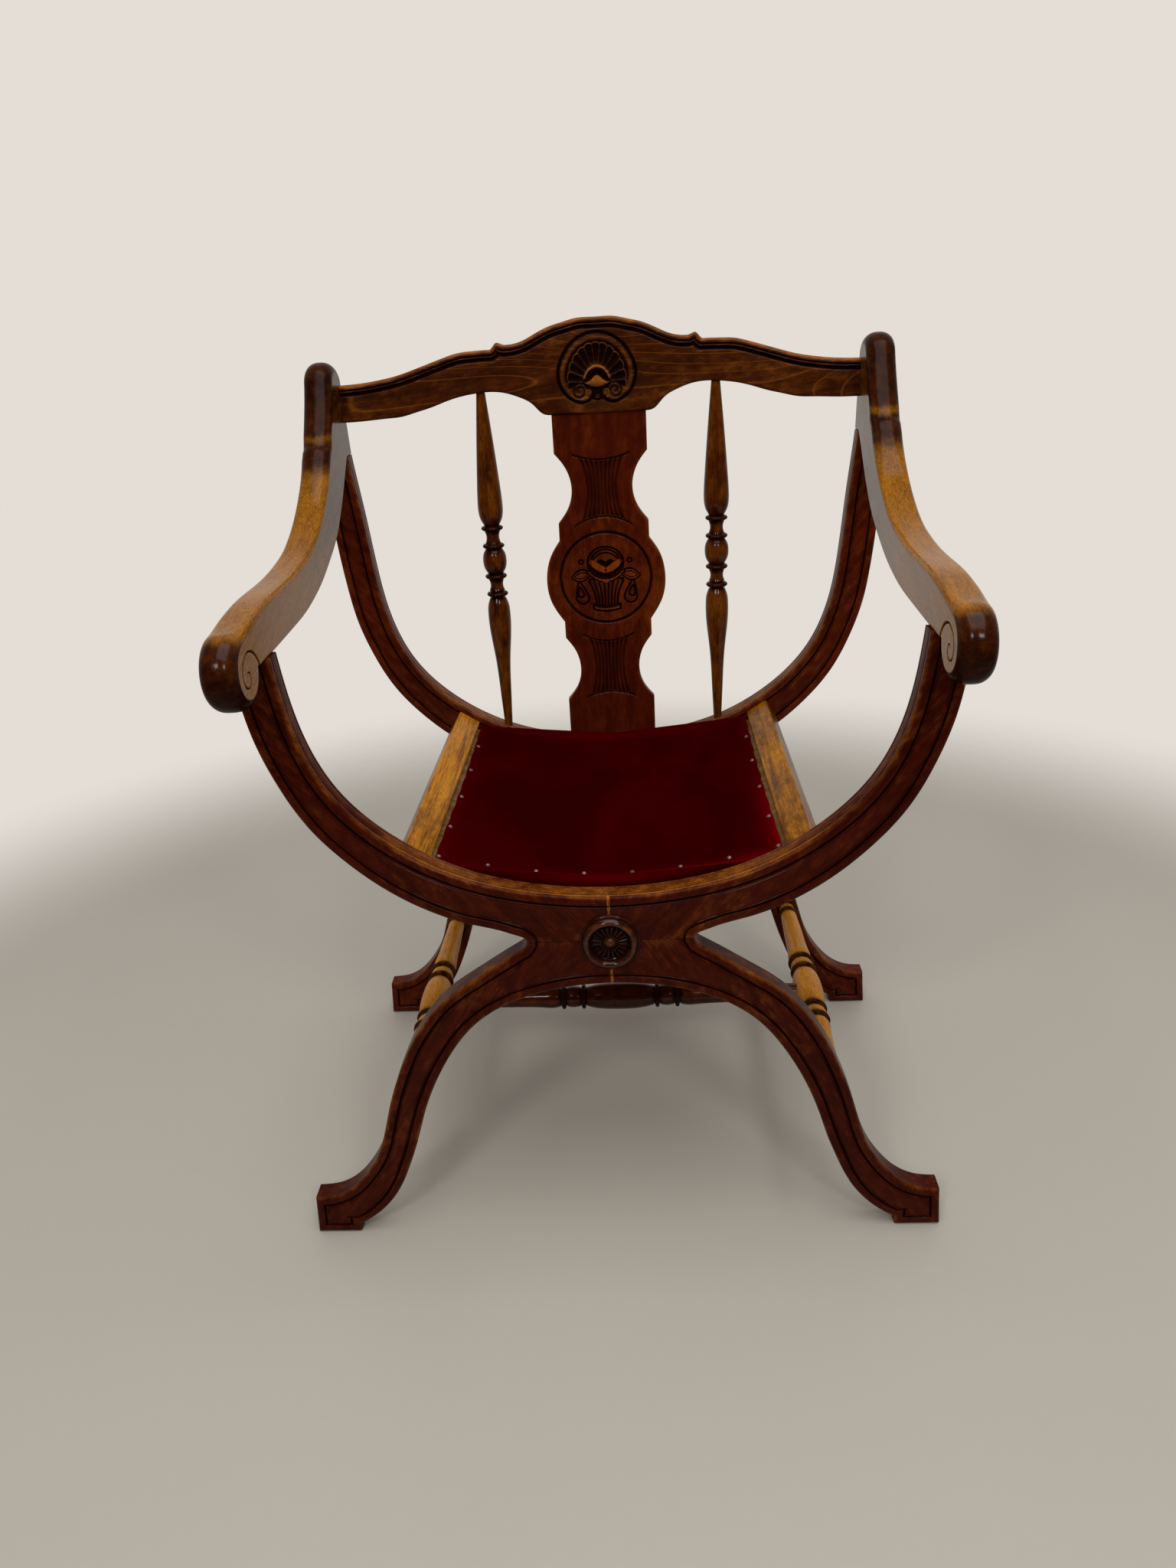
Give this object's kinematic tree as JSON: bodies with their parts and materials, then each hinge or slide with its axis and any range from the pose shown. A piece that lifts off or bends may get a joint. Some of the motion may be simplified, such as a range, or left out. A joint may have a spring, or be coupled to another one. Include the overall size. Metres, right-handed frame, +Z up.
{
  "type": "savonarola chair",
  "caption": "Curved X-frame wooden armchair with scrolled arms, dished velvet seat, turned stretchers and spindles, carved back rail and splat.",
  "frame": {"origin": "on the floor, under the middle of the whole chair", "axes": "X across the chair and its symmetry axis, -Y the front, Z up"},
  "size_m": [0.688, 0.533, 0.9298],
  "materials": {
    "frame_wood": "glossy varnished mahogany",
    "arm_wood": "worn honey-coloured varnish",
    "carved_wood": "varnished mid-brown wood",
    "turned_wood": "varnished turned wood with darkened rings",
    "dowel_wood": "plain unfinished wood",
    "velvet": "burgundy velvet"
  },
  "bodies": {
    "root": {"front_upper_right": "frame_wood", "front_upper_left": "frame_wood", "front_lower_right": "frame_wood", "front_lower_left": "frame_wood", "rear_upper_right": "frame_wood", "rear_upper_left": "frame_wood", "rear_lower_right": "frame_wood", "rear_lower_left": "frame_wood", "front_frame_dowels": "dowel_wood", "rear_frame_dowels": "dowel_wood", "front_rosette": "carved_wood", "right_armrest": "arm_wood", "left_armrest": "arm_wood", "arm_dowels": "dowel_wood", "crest_rail": "carved_wood", "crest_dowels": "dowel_wood", "back_splat": "carved_wood", "right_spindle": "turned_wood", "left_spindle": "turned_wood", "right_side_stretcher": "turned_wood", "left_side_stretcher": "turned_wood", "cross_stretcher": "turned_wood", "right_seat_rail": "arm_wood", "left_seat_rail": "arm_wood", "seat_rail_dowels": "dowel_wood", "front_seat_cleat": "dowel_wood", "rear_seat_cleat": "dowel_wood", "seat_panel": "dowel_wood", "seat_pad": "velvet"}
  },
  "joints": []
}
